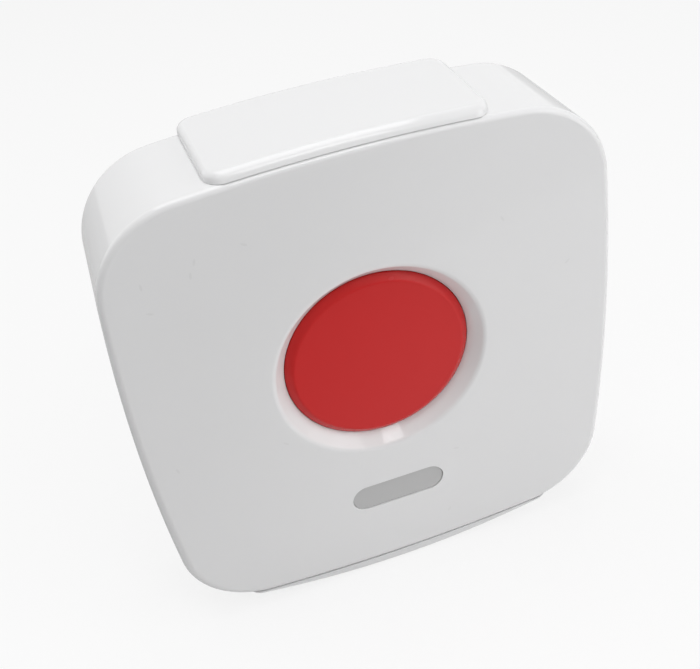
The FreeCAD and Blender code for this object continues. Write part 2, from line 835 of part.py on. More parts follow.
def make_rear_cover():
    """Back of the case with the battery well, screw holes and the pairing pinhole."""
    body = new_body("rear_cover")
    left = f"{WELL_MIDDLE} - well_half"
    right = f"{WELL_MIDDLE} + well_half"
    sketch = new_sketch(body, CASE_BACK)
    squircle(sketch, "(rim_wall + cover_fit)")
    pad(body, sketch, "cover_thick")
    sketch = new_sketch(body, COVER_INSIDE)
    wall = "well_wall"
    reach = "well_reach"
    rounded(sketch, f"{left} - {wall}", f"{right} + {wall}", f"-1 * {reach} - {wall}",
            f"{reach} + {wall}", "1")
    pad(body, sketch, f"well_floor + well_floor_thick - {COVER_INSIDE}")
    sketch = new_sketch(body, CASE_BACK)
    box(sketch, left, right, f"-1 * {reach}", reach)
    pocket(body, sketch, f"well_floor - {CASE_BACK}")
    # rabbet for the door
    sketch = new_sketch(body, CASE_BACK)
    rounded(sketch, f"{WELL_MIDDLE} - door_half - door_fit", f"{WELL_MIDDLE} + door_half + door_fit",
            "-1 * door_reach - door_fit", "door_reach + door_fit", "1")
    pocket(body, sketch, "door_thick")
    # slits that take the contacts and their tags
    slit_left = f"{left} - {wall} - 0.5"
    sketch = new_sketch(body, "board_level - 0.1")
    box(sketch, slit_left, f"{right} - 0.4", f"{reach} - contact_slot", reach)
    box(sketch, slit_left, f"{right} - 0.4", f"-1 * {reach}", f"contact_slot - {reach}")
    pocket(body, sketch, "well_floor")
    sketch = new_sketch(body, CASE_BACK)
    for x, y in CASE_SPOTS:
        circle(sketch, x, y, "case_hole")
    circle(sketch, "pairing_x", "pairing_y", "pairing_hole")
    pocket(body, sketch, "cover_thick")
    sketch = new_sketch(body, CASE_BACK)
    for x, y in CASE_SPOTS:
        circle(sketch, x, y, "case_sink")
    pocket(body, sketch, "case_sink_depth")


def make_seal():
    """Soft ring on the ledge of the front cover."""
    body = new_body("case_seal")
    sketch = new_sketch(body, COVER_INSIDE)
    squircle(sketch, "seal_outer")
    squircle(sketch, "seal_inner")
    pad(body, sketch, "rim_depth - cover_thick")


def make_radio():
    """Radio board with its can, and the wound antenna beside it."""
    body = new_body("radio_board", RADIO_X, RADIO_Y)
    sketch = new_sketch(body, "board_level")
    box(sketch, "-1 * radio_half_x", "radio_half_x", "-1 * radio_half_y", "radio_half_y")
    pad(body, sketch, "radio_thick")
    body = new_body("radio_can", RADIO_X, RADIO_Y)
    sketch = new_sketch(body, "board_level + radio_thick")
    rounded(sketch, "-1 * can_half_x", "can_half_x", "-1 * can_half_y", "can_half_y", "0.6")
    pad(body, sketch, "can_height")
    sketch = new_sketch(body, "board_level + radio_thick")
    box(sketch, "can_wall - can_half_x", "can_half_x - can_wall", "can_wall - can_half_y",
        "can_half_y - can_wall")
    pocket(body, sketch, "can_height - can_wall")
    body = new_body("antenna_coil", ANTENNA_X, ANTENNA_Y)
    sketch = new_sketch(body, role="XY_Plane", level="antenna_level")
    circle(sketch, "antenna_radius", "0", "antenna_wire / 2")
    coil(body, sketch, "antenna_pitch", "antenna_turns * antenna_pitch")
    end = "antenna_turns * antenna_pitch"
    sketch = new_sketch(body, "antenna_level")
    circle(sketch, "antenna_radius", "0", "antenna_wire / 2")
    circle(sketch, "-1 * antenna_radius", end, "antenna_wire / 2")
    pad(body, sketch, "lead_length", up=False)


def make_board_parts():
    """Chip on the back of the board, capacitor and crystal on its front."""
    body = new_body("controller_chip", "chip_x", "chip_y")
    sketch = new_sketch(body, BOARD_BACK)
    box(sketch, "-1 * chip_half", "chip_half", "-1 * chip_half", "chip_half")
    pad(body, sketch, "chip_thick", up=False)
    body = new_body("smoothing_capacitor", "capacitor_x", CAPACITOR_Y)
    sketch = new_sketch(body, "board_level")
    circle(sketch, "0", "0", "capacitor_radius")
    pad(body, sketch, "capacitor_height")
    soften(body, "0.4", lambda spot: near(spot.z, size("board_level + capacitor_height")))
    body = new_body("crystal_can", "crystal_x", CRYSTAL_Y)
    sketch = new_sketch(body, "board_level")
    pill(sketch, "0", "0", "crystal_half", "crystal_radius")
    pad(body, sketch, "crystal_height")
    soften(body, "0.4", lambda spot: near(spot.z, size("board_level + crystal_height")))


def make_pairing_switch():
    """Small switch behind the pinhole, with its key."""
    key = "pairing_key"
    top = f"{BOARD_BACK} - pairing_height"
    body = new_body("pairing_switch_body", "pairing_x", "pairing_y")
    sketch = new_sketch(body, BOARD_BACK)
    half = "pairing_half"
    rounded(sketch, f"-1 * {half}", half, f"-1 * {half}", half, "0.4")
    pad(body, sketch, "pairing_height", up=False)
    sketch = new_sketch(body, top)
    circle(sketch, "0", "0", f"{key} + plunger_fit")
    pocket(body, sketch, "pairing_depth + pairing_travel + plunger_gap")
    body = new_body("pairing_switch_key", "pairing_x", "pairing_y")
    sketch = new_sketch(body, f"{top} - pairing_proud")
    circle(sketch, "0", "0", key)
    pad(body, sketch, "pairing_proud + pairing_depth")


def make_battery():
    """Cell with its two contacts, and the door over the well."""
    body = new_body("battery_cell", WELL_MIDDLE)
    nub = "cell_end - cell_nub_height"
    sketch = new_sketch(body, f"-1 * ({nub})", y="cell_level", role="XZ_Plane")
    circle(sketch, "0", "0", "cell_radius")
    pad(body, sketch, "cell_length", up=True)
    tail = size(f"{nub} - cell_length")
    edge = size(nub)
    soften(body, "0.5", lambda spot: near(spot.y, tail) or near(spot.y, edge))
    sketch = new_sketch(body, f"-1 * ({nub})", y="cell_level", role="XZ_Plane")
    circle(sketch, "0", "0", "cell_nub")
    pad(body, sketch, "cell_nub_height", up=False)
    tag_left = f"({BOARD_RIGHT} - contact_foot - {WELL_MIDDLE})"
    thick = "contact_thick"
    wide = "contact_half"
    for name, sign in (("battery_plate_contact", 1), ("battery_spring_contact", -1)):
        body = new_body(name, WELL_MIDDLE)
        outer = "well_reach" if sign > 0 else "-1 * well_reach"
        inner = f"well_reach - {thick}" if sign > 0 else f"{thick} - well_reach"
        toward = "well_reach - contact_foot" if sign > 0 else "contact_foot - well_reach"
        low, high = (inner, outer) if sign > 0 else (outer, inner)
        sketch = new_sketch(body, "contact_low")
        box(sketch, f"-1 * {wide}", wide, low, high)
        pad(body, sketch, "contact_high - contact_low")
        sketch = new_sketch(body, "board_level")
        box(sketch, tag_left, f"-1 * {wide} + 0.5", low, high)
        pad(body, sketch, "tag_height")
        low, high = (toward, outer) if sign > 0 else (outer, toward)
        sketch = new_sketch(body, "board_level")
        box(sketch, tag_left, f"{tag_left} + contact_foot - 0.3", low, high)
        pad(body, sketch, thick)
    # coil of the spring contact, sunk into its plate
    root = f"({thick} - well_reach)"
    sketch = new_sketch(body, "cell_level")
    circle(sketch, "contact_coil", root, "contact_wire / 2")
    coil(body, sketch, "contact_pitch", f"{nub} - cell_length - {root} - contact_wire / 2 - 0.05")
    body = new_body("battery_door", WELL_MIDDLE)
    sketch = new_sketch(body, CASE_BACK)
    rounded(sketch, "-1 * door_half", "door_half", "-1 * door_reach", "door_reach", "0.85")
    pad(body, sketch, "door_thick")
    sketch = new_sketch(body, CASE_BACK)
    circle(sketch, "0", "door_reach - door_grip - 3", "door_grip")
    pocket(body, sketch, "door_grip_depth")


make_bracket()
make_front_cover()
make_badge()
make_cap()
make_retainer()
make_spring()
make_board()
make_switch()
make_rear_cover()
make_seal()
make_radio()
make_board_parts()
make_pairing_switch()
make_battery()
screws("case_screws", CASE_SPOTS, f"({CASE_BACK} + case_sink_depth)", "case_head",
       "case_head_height", "case_shank", "case_length")
screws("board_screws", BOARD_SPOTS, BOARD_BACK, "small_head", "small_head_height",
       "small_shank", "small_length")
screws("retainer_screws", EAR_SPOTS, "(ring_level - ring_thick)", "small_head",
       "small_head_height", "small_shank", "small_length")

doc.recompute()
for item in doc.Objects:
    if "Invalid" in item.State or "Error" in item.State:
        raise ValueError(f"{item.Name} did not compute")
for body in PIECES:
    if body.Shape.isNull() or not body.Shape.isValid():
        raise ValueError(f"{body.Name} has no sound shape")
    body.Shape.exportStep(f"parts/{body.Label}.step")
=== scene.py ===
"""Panic button: case, press cap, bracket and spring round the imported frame, and all the finishes."""

import json
import math

import bmesh
import bpy
from bpy.props import FloatProperty, FloatVectorProperty, PointerProperty
from mathutils import Matrix, Vector


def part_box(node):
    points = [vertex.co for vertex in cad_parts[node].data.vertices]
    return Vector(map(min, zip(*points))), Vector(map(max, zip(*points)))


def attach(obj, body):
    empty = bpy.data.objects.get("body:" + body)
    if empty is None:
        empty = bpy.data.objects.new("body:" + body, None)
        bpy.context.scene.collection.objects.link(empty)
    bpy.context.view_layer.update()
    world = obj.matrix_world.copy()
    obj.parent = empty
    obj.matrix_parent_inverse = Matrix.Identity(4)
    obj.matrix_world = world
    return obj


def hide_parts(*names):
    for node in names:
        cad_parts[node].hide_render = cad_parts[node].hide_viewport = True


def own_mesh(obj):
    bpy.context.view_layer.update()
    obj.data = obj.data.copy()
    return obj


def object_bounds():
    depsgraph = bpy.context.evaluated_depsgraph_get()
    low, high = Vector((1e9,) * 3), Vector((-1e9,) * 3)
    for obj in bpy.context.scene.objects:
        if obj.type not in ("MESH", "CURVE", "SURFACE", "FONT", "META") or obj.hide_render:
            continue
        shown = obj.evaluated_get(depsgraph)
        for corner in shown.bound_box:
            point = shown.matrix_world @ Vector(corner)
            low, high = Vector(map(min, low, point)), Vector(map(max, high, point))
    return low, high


bl_info = {
    "name": "Panic button",
    "version": (1, 0, 0),
    "blender": (4, 5, 0),
    "location": "3D View > Sidebar > Panic button",
    "description": "Dresses the packed panic button: case, press cap, bracket, spring and finishes",
    "category": "Object",
}

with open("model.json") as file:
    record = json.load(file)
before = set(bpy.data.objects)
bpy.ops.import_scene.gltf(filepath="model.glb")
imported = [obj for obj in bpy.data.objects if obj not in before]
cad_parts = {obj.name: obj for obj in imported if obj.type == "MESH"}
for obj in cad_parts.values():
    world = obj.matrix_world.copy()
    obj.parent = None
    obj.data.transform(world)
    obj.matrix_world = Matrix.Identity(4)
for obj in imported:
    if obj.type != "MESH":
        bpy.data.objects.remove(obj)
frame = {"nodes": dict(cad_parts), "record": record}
CAD_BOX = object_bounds()
NODES = frame["nodes"]

# Pieces are shaped lying on their back in millimetres (x right, y up the wall, z out of the wall),
# then stood up on the wall in metres.
UPRIGHT = Matrix(((0.001, 0, 0, 0), (0, 0, -0.001, 0), (0, 0.001, 0, 0), (0, 0, 0, 1)))

# Facets of each round form.
BOW_STEPS = 20
CORNER_STEPS = 28
PILL_STEPS = 24
FRONT_STEPS = 12
BACK_STEPS = 4
BEND_STEPS = 8
TURN_STEPS = 192
POST_STEPS = 32

# Narrow flat strips beside the roundings, which keep the shading of the flat sides even.
STRIP = 0.1
FACE_STRIP = 0.08

# Points nearer than this are one point, and arcs whose ends are further apart than this get an edge.
SAME = 0.001
APART = 0.01

# Edges that turn more than this stay sharp.
SHARP = math.radians(32)

# Where the bracket's points belong: the upper arm above one level, the ledge below another, and the
# plate's side edges between two distances from the middle, past which the ledge's ends begin.
ARM_LEVEL = 43
LEDGE_LEVEL = -37
SIDE_FROM = 20
SIDE_TO = 25

# Fine scratches and dust caught in the face: place from the middle in millimetres, turn in degrees.
SPECKS = (
    (-18.8, 33.4, 30), (-26.5, 32.7, 110), (-27.5, 30.6, 100), (-34.9, 30.9, 90),
    (-34.7, 26.1, 20), (22.7, 25.4, 60), (34.4, 13.6, 140), (-18.9, -7.0, 40),
    (-37.7, -5.6, 75), (12.0, -20.9, 15), (9.7, -36.3, 120),
)
# Half length, reach through the face and half width of a speck, in metres.
SPECK_SIZE = (0.0007, 1, 0.00025)

# The camera's right and up and its place in metres, solved from the outline of the case.
CAMERA_RIGHT = Vector((0.94194265, -0.31418906, -0.11844524))
CAMERA_UP = Vector((0.28040922, 0.54202011, 0.79220254))
CAMERA_SPOT = Vector((-0.03435465, -0.14796608, 0.10722226))

# Soft square panels that face the object: place and size in metres, power in watts.
LAMPS = {
    "window_panel": ((-0.33, -0.28, 0.57), 0.22, 0.2),
    "rim_panel": ((0.1, -0.4, 0.58), 0.2, 0.47),
    "top_panel": ((0, 0.015, 0.7), 0.5, 2.3),
    "front_panel": ((0.4, -0.4, 0.4), 0.5, 0.44),
    "right_panel": ((0.32, -0.22, 0.12), 0.3, 0.4),
    "left_panel": ((-0.45, 0.25, 0.3), 0.5, 0.6),
}

# How far the floor reaches to each side, and how far it lies below the object, in metres.
FLOOR_REACH = 3
FLOOR_GAP = 0.0002

# The gloss sees the floor glow in zones, which paint reflections into it: darker and brighter bands and
# a glare on the white case that no lamp casts. Each soft edge between them has a direction, a start and
# an end in metres.
FLOOR_EDGES = {
    "near": ((0.25, 0.968, 0), -0.114, -0.106),
    "behind": ((0, 1, 0), 0.02, 0.06),
    "aside": ((1, 0.6, 0), -0.095, -0.005),
    "far": ((0, -1, 0), 0.22, 0.4),
}


def length(name, text, default):
    """Size in millimetres."""
    return FloatProperty(name=name, description=text + ", in millimetres", default=default)


def tint(name, text, default):
    """Colour of a finish."""
    return FloatVectorProperty(name=name, description=text, default=default, subtype="COLOR",
                               size=3, min=0, max=1)


class CaseSizes(bpy.types.PropertyGroup):
    """Outline and walls of the case."""
    half_width: length("Half width", "Half the case's width", 43.0)
    half_height: length("Half height", "Half the case's height", 44.0)
    side_bow: length("Side bow", "Radius of the bowed sides", 340.0)
    top_bow: length("Top bow", "Radius of the bowed top and bottom", 320.0)
    corner: length("Corner", "Radius of the corners", 15.5)
    back: length("Back", "Level of the case's back edge", 2.2)
    front: length("Front", "Level of the case's face", 23.7)
    face_wall: length("Face wall", "Thickness of the face", 2.2)
    rim_wall: length("Rim wall", "Thickness of the wall at the back edge", 1.4)
    main_wall: length("Main wall", "Thickness of the side walls", 2.4)
    rim_depth: length("Rim depth", "Depth of the recess for the rear cover", 2.8)
    front_round: length("Front rounding", "Radius of the front edge at the top", 1.0)
    round_gain: length("Rounding gain", "How much larger that radius is at the bottom", 0.9)
    back_round: length("Back rounding", "Radius of the back edge", 0.5)
    lift: length("Lift", "How far the case sits towards the bracket's upper arm", 0.1)


class PostSizes(bpy.types.PropertyGroup):
    """Screw posts behind the face."""
    sink: length("Sink", "How far each post runs into the face", 0.3)
    case_x: length("Case posts aside", "Distance of the case screws' posts to each side", 31.5)
    case_y: length("Case posts up", "Distance of the case screws' posts up and down", 32.5)
    case_end: length("Case post end", "Level of the case screws' posts", 4.2)
    case_radius: length("Case post", "Outer radius of the case screws' posts", 3.4)
    case_bore: length("Case post bore", "Bore of the case screws' posts", 1.3)
    board_right: length("Board posts right", "Distance of the board's posts to the right", 19.5)
    board_left: length("Board posts left", "Distance of the board's posts to the left", 33.5)
    board_y: length("Board posts up", "Distance of the board's posts up and down", 24.0)
    board_end: length("Board post end", "Level of the board's posts", 9.7)
    board_radius: length("Board post", "Outer radius of the board's posts", 2.6)
    ear_turn: FloatProperty(name="Ear turn", description="Direction of the retainer's first post",
                            default=math.radians(75), subtype="ANGLE")
    ear_reach: length("Ear reach", "Distance of the retainer's posts from the button's middle", 22.6)
    ear_radius: length("Ear post", "Outer radius of the retainer's posts", 3.2)
    small_bore: length("Small bore", "Bore of the board's and the retainer's posts", 0.95)


class BadgeSizes(bpy.types.PropertyGroup):
    """Pocket of the plate below the button."""
    drop: length("Drop", "Distance of the plate below the middle of the face", 26.3)
    half: length("Half width", "Half the pocket's width", 9.0)
    radius: length("End radius", "Radius of the pocket's round ends", 2.85)
    depth: length("Depth", "Depth of the pocket", 0.7)


class ButtonSizes(bpy.types.PropertyGroup):
    """Collar and press cap."""
    rise: length("Rise", "Height of the button above the middle of the face", 3.85)
    mouth: length("Dish mouth", "Radius of the dish at the face", 18.8)
    hole: length("Hole", "Radius of the hole in the lip", 16.6)
    dish: length("Dish depth", "Depth of the dish", 2.6)
    lip: length("Lip", "Thickness of the lip behind the dish", 1.2)
    collar_round: length("Collar rounding", "Radius of the dish's outer edge", 1.3)
    bore: length("Sleeve bore", "Bore of the sleeve that guides the cap", 18.0)
    sleeve: length("Sleeve", "Outer radius of the sleeve", 19.6)
    ring: length("Ring level", "Level of the sleeve's back end", 12.9)
    cap: length("Cap", "Radius of the press cap", 16.5)
    cap_top: length("Cap top", "Level of the cap's face", 22.2)
    slope: FloatProperty(name="Shoulder slope", description="Tilt of the cap's shoulder",
                         default=math.radians(38), subtype="ANGLE")
    inner_round: length("Inner rounding", "Radius where the cap's face turns down", 0.8)
    outer_round: length("Outer rounding", "Radius where the shoulder meets the side", 0.3)
    side_top: length("Side top", "Level where the cap's straight side begins", 21.05)


class InsideSizes(bpy.types.PropertyGroup):
    """Hidden side of the press cap."""
    skirt: length("Skirt", "Outer radius of the skirt behind the lip", 17.92)
    skirt_wall: length("Skirt wall", "Thickness of the skirt", 1.6)
    skirt_top: length("Skirt top", "Level of the skirt's top, which the lip holds back", 19.85)
    skirt_end: length("Skirt end", "Level of the skirt's open end", 14.8)
    hollow: length("Hollow", "Radius of the hollow behind the face", 14.9)
    hollow_step: length("Hollow step", "Level of the step round the hollow", 18.4)
    hollow_top: length("Hollow top", "Level of the hollow's far end", 20.4)
    guide: length("Guide", "Outer radius of the ring that guides the spring", 7.2)
    guide_wall: length("Guide wall", "Thickness of that ring", 1.0)
    guide_end: length("Guide end", "Level of that ring's free end", 17.9)
    stem: length("Stem", "Radius of the stem that presses the switch", 2.6)
    stem_end: length("Stem end", "Level of the stem's free end", 16.25)
    rib_from: length("Rib start", "Distance of each rib's inner end from the middle", 8.9)
    rib_to: length("Rib reach", "Distance of each rib's outer end from the middle", 15.2)
    rib_half: length("Half rib", "Half the thickness of each rib", 0.5)
    rib_sink: length("Rib sink", "How far each rib runs into the face", 0.2)


class BracketSizes(bpy.types.PropertyGroup):
    """Bracket, and how its moulding departs from its packed block."""
    trim: length("Trim", "How far each side edge of the plate lies in", 1.4)
    taper: length("Taper", "How much more the upper arm narrows to its front", 0.6)
    reach: length("Reach", "How far the foot of the arm's front edge comes forward", 0.5)
    lean: length("Lean", "How far the arm's front edge leans back from its foot", 0.65)
    tip: length("Tip", "How far each end of the ledge runs out", 3.0)
    gap: length("Gap", "Clearance between the case and each arm", 0.15)
    arm: length("Arm", "Thickness of the upper arm", 1.5)
    nose: length("Nose", "Depth of the arm's front end that is reshaped", 3.0)
    foot: length("Foot", "Distance of the ledge's underside below the middle", 46.05)
    foot_bow: length("Foot bow", "Radius of the ledge's bowed underside", 155.0)


class Finishes(bpy.types.PropertyGroup):
    """Colours of the parts that show."""
    white: tint("White", "Moulded white of the case and the bracket", (0.80, 0.80, 0.805))
    red: tint("Red", "Press cap", (0.60, 0.023, 0.023))
    grey: tint("Badge grey", "Plate below the button", (0.515, 0.515, 0.515))


class Studio(bpy.types.PropertyGroup):
    """Camera and light."""
    lens: FloatProperty(name="Lens", description="Focal length on a 36 mm sensor", default=50.257)
    sky: FloatProperty(name="Sky", description="Strength of the even light", default=0.35)


GROUPS = {
    "panic_case": CaseSizes,
    "panic_posts": PostSizes,
    "panic_badge": BadgeSizes,
    "panic_button": ButtonSizes,
    "panic_inside": InsideSizes,
    "panic_bracket": BracketSizes,
    "panic_finishes": Finishes,
    "panic_studio": Studio,
}


class Wire:
    """A node socket that adds Math nodes where it is used in an expression."""

    def __init__(self, paint, socket):
        self.paint = paint
        self.socket = socket

    def maths(self, operation, *values):
        return self.paint.node("ShaderNodeMath", {"operation": operation}, *values)

    def __add__(self, other):
        return self.maths("ADD", self, other)

    def __radd__(self, other):
        return self.maths("ADD", other, self)

    def __mul__(self, other):
        return self.maths("MULTIPLY", self, other)

    def __rmul__(self, other):
        return self.maths("MULTIPLY", other, self)


class Paint:
    """The nodes of a material or of the world."""

    def __init__(self, holder):
        self.holder = holder
        holder.use_nodes = True
        self.tree = holder.node_tree
        self.tree.nodes.clear()

    def node(self, kind, settings=None, *values, out=0, **named):
        """A node with its settings made first, then the values or links of its sockets.

        Colours are given as three numbers, and None leaves a socket as it is.
        """
        made = self.tree.nodes.new(kind)
        for name, value in (settings or {}).items():
            setattr(made, name, value)
        sockets = list(zip(made.inputs, values))
        sockets += [(made.inputs[name.replace("_", " ")], value) for name, value in named.items()]
        for socket, value in sockets:
            if isinstance(value, Wire):
                self.tree.links.new(value.socket, socket)
            elif value is not None:
                socket.default_value = (*value, 1) if socket.type == "RGBA" else value
        return Wire(self, made.outputs[out]) if made.outputs else None

    def place(self):
        """Object coordinates, in metres."""
        return self.node("ShaderNodeMapping", None, self.node("ShaderNodeTexCoord", out="Object"))

    def noise(self, vector, scale, detail=2.0, roughness=0.5):
        """Soft noise from 0 to 1."""
        return self.node("ShaderNodeTexNoise", None, Vector=vector, Scale=scale, Detail=detail,
                         Roughness=roughness)

    def blend(self, factor, one, other):
        """Colour between two, by a factor. The sockets in between are for numbers and vectors."""
        between = [None] * 5
        return self.node("ShaderNodeMix", {"data_type": "RGBA"}, factor, *between, one, other,
                         out=2)

    def soft(self, value, *limits):
        """The value eased from one range (low, high) to 0 and 1, or to a second range."""
        return self.node("ShaderNodeMapRange", {"interpolation_type": "SMOOTHSTEP"}, value, *limits)

    def step(self, vector, axis, low, high):
        """Soft step from 0 to 1 along an axis."""
        along = self.node("ShaderNodeVectorMath", {"operation": "DOT_PRODUCT"}, vector, axis,
                          out="Value")
        return self.soft(along, low, high)

    def bump(self, height, distance):
        """Normal that follows a height, over a distance in metres."""
        return self.node("ShaderNodeBump", None, Strength=1.0, Distance=distance, Height=height)

    def surface(self, colour, roughness, **named):
        """Principled surface on the material's output."""
        shader = self.node("ShaderNodeBsdfPrincipled", None, Base_Color=colour, Roughness=roughness,
                           **named)
        self.node("ShaderNodeOutputMaterial", None, shader)
        return self.holder


def grey(value):
    """Grey as a colour."""
    return (value, value, value)


def shaded(colour, share):
    """The colour at a share of its brightness."""
    return tuple(part * share for part in colour)


def white_moulding(paint):
    """Glossy white plastic: faint orange peel, handling marks in the gloss, a few fine specks."""
    colour = bpy.context.scene.panic_finishes.white
    spot = paint.place()
    peel = paint.noise(spot, scale=420.0)
    wear = paint.noise(spot, scale=55.0, detail=4.0, roughness=0.6)
    cloud = paint.noise(spot, scale=18.0, detail=3.0)
    dust = face_specks(paint, spot)
    tone = paint.blend(cloud * 0.5, colour, shaded(colour, 0.975))
    tone = paint.blend(dust * 0.15, tone, (0.2, 0.2, 0.19))
    rough = 0.05 + wear * 0.05 + dust * 0.3
    return paint.surface(tone, rough, IOR=1.5, Normal=paint.bump(peel, distance=0.000004))


def face_specks(paint, spot):
    """1 where a speck lies in the face, 0 elsewhere."""
    marks = None
    for x, z, turn in SPECKS:
        lain = paint.node("ShaderNodeMapping", {"vector_type": "TEXTURE"}, spot,
                          (x / 1000, 0, z / 1000), (0, math.radians(turn), 0), SPECK_SIZE)
        reach = paint.node("ShaderNodeVectorMath", {"operation": "LENGTH"}, lain, out="Value")
        mark = paint.soft(reach, 0.4, 1.0, 1.0, 0.0)
        marks = mark if marks is None else marks.maths("MAXIMUM", marks, mark)
    face = bpy.context.scene.panic_case.front / 1000
    return marks * paint.step(spot, (0, -1, 0), face - 0.0003, face - 0.0001)


def red_moulding(paint):
    """Satin-gloss red plastic."""
    colour = bpy.context.scene.panic_finishes.red
    spot = paint.place()
    peel = paint.noise(spot, scale=500.0)
    wear = paint.noise(spot, scale=70.0, detail=4.0, roughness=0.6)
    return paint.surface(colour, 0.22 + wear * 0.08, IOR=1.3,
                         Normal=paint.bump(peel, distance=0.00001))


def grey_plate(paint):
    """Satin grey of the bare badge."""
    colour = bpy.context.scene.panic_finishes.grey
    grain = paint.noise(paint.place(), scale=900.0)
    return paint.surface(colour, 0.42 + grain * 0.1, IOR=1.45,
                         Normal=paint.bump(grain, distance=0.00001))


def plain(colour, roughness, metallic=0.0, grain=600.0, depth=0.00001):
    """Maker of a plain finish with a fine grain."""
    def make(paint):
        noise = paint.noise(paint.place(), scale=grain, detail=3.0, roughness=0.6)
        tone = paint.blend(noise * 0.35, colour, shaded(colour, 0.8))
        return paint.surface(tone, roughness + noise * 0.1, Metallic=metallic,
                             Normal=paint.bump(noise, distance=depth))
    return make


MAKERS = {
    "white_gloss": white_moulding,
    "red_gloss": red_moulding,
    "badge_grey": grey_plate,
    "seal_rubber": plain((0.03, 0.03, 0.03), 0.6),
    "zinc_steel": plain((0.56, 0.57, 0.6), 0.28, metallic=1.0),
    "spring_steel": plain((0.58, 0.58, 0.58), 0.25, metallic=1.0),
    "tin_plate": plain((0.66, 0.66, 0.64), 0.3, metallic=1.0),
    "can_aluminium": plain((0.72, 0.72, 0.74), 0.25, metallic=1.0),
    "copper_wire": plain((0.68, 0.32, 0.16), 0.3, metallic=1.0),
    "board_green": plain((0.02, 0.16, 0.06), 0.32, grain=300.0, depth=0.00002),
    "black_plastic": plain((0.02, 0.02, 0.02), 0.5),
    "grey_plastic": plain((0.25, 0.25, 0.27), 0.45),
    "cell_jacket": plain((0.07, 0.13, 0.32), 0.35, metallic=0.3),
}
MATERIALS = {}


def finish_for(slot):
    """The finish of a material slot, made once. The two white slots share one."""
    name = "white_gloss" if slot == "white_plastic" else slot
    if name not in MATERIALS:
        MATERIALS[name] = MAKERS[name](Paint(bpy.data.materials.new(name)))
    return MATERIALS[name]


def spun(bm, start, centre, angle, steps):
    """Points left by spinning a point round a centre, about the wall's normal."""
    point = bm.verts.new(start)
    before = set(bm.verts)
    bmesh.ops.spin(bm, geom=[point], cent=centre, axis=(0, 0, 1), angle=angle, steps=steps)
    return [point] + [vert for vert in bm.verts if vert not in before]


def arc_loop(bm, arcs, level):
    """Closed loop through arcs (x, y, radius, start, end, steps), angles in degrees."""
    chain = []
    for x, y, radius, start, end, steps in arcs:
        begin = math.radians(start)
        spot = Vector((x + radius * math.cos(begin), y + radius * math.sin(begin), level))
        chain.append(spun(bm, spot, (x, y, level), math.radians(end - start), steps))
    for one, other in zip(chain, chain[1:] + chain[:1]):
        tail, head = one[-1], other[0]
        if (tail.co - head.co).length > APART:
            bm.edges.new((tail, head))
        else:
            bmesh.ops.pointmerge(bm, verts=[tail, head], merge_co=head.co.copy())
    verts = {vert for group in chain for vert in group if vert.is_valid}
    return [edge for edge in bm.edges if edge.verts[0] in verts and edge.verts[1] in verts]


def corner_of(case):
    """Centre of the case's round corner, and the two angles at which it meets the bows."""
    bow_x = case.half_width - case.side_bow
    bow_y = case.half_height - case.top_bow
    reach_x = case.side_bow - case.corner
    reach_y = case.top_bow - case.corner
    span = math.hypot(bow_x, bow_y)
    along = (reach_x ** 2 - reach_y ** 2 + span ** 2) / (2 * span)
    aside = math.sqrt(reach_x ** 2 - along ** 2)
    step = Vector((-bow_x / span, bow_y / span))
    spots = [Vector((bow_x, 0)) + step * along + Vector((-step.y, step.x)) * aside * sign
             for sign in (1, -1)]
    corner = max(spots, key=lambda spot: spot.x + spot.y)
    tilt = math.degrees(math.atan2(corner.y, corner.x - bow_x))
    lean = math.degrees(math.atan2(corner.y - bow_y, corner.x))
    return corner, tilt, lean


def case_loop(bm, case, inset, level):
    """The case's outline, moved inwards: four shallow bows and four round corners."""
    corner, tilt, lean = corner_of(case)
    bow_x = case.half_width - case.side_bow
    bow_y = case.half_height - case.top_bow
    side = case.side_bow - inset
    top = case.top_bow - inset
    turn = case.corner - inset
    x, y = corner
    return arc_loop(bm, [
        (bow_x, 0, side, -tilt, tilt, BOW_STEPS),
        (x, y, turn, tilt, lean, CORNER_STEPS),
        (0, bow_y, top, lean, 180 - lean, BOW_STEPS),
        (-x, y, turn, 180 - lean, 180 - tilt, CORNER_STEPS),
        (-bow_x, 0, side, 180 - tilt, 180 + tilt, BOW_STEPS),
        (-x, -y, turn, 180 + tilt, 180 + lean, CORNER_STEPS),
        (0, -bow_y, top, 180 + lean, 360 - lean, BOW_STEPS),
        (x, -y, turn, 360 - lean, 360 - tilt, CORNER_STEPS),
    ], level)


def pill_loop(bm, badge, level):
    """Outline of the badge's pocket."""
    reach = badge.half - badge.radius
    return arc_loop(bm, [(reach, -badge.drop, badge.radius, -90, 90, PILL_STEPS),
                         (-reach, -badge.drop, badge.radius, 90, 270, PILL_STEPS)], level)


def turned(bm, x, y, profile, steps=TURN_STEPS, closed=False):
    """Points (radius, level) of a profile, joined and spun once round an upright axis."""
    verts = [bm.verts.new((x + radius, y, level)) for radius, level in profile]
    ends = verts + verts[:1] if closed else verts
    edges = [bm.edges.new(pair) for pair in zip(ends, ends[1:])]
    bmesh.ops.spin(bm, geom=verts + edges, cent=(x, y, 0), axis=(0, 0, 1), angle=math.tau,
                   steps=steps, use_merge=True)


def loft(bm, loops):
    """Skin between each loop and the next one, which lies at another level."""
    for one, other in zip(loops, loops[1:]):
        bmesh.ops.bridge_loops(bm, edges=one + other)


def close_at(bm, level):
    """Flat face between all the open edges at a level."""
    edges = [edge for edge in bm.edges
             if edge.is_boundary and all(abs(vert.co.z - level) < SAME for vert in edge.verts)]
    bmesh.ops.triangle_fill(bm, use_beauty=True, edges=edges, normal=(0, 0, 1))


def block(bm, low, high):
    """Box between two corners. Its points are returned."""
    low, high = Vector(low), Vector(high)
    matrix = Matrix.Translation((low + high) / 2) @ Matrix.Diagonal((*(high - low), 1))
    return bmesh.ops.create_cube(bm, size=1, matrix=matrix)["verts"]


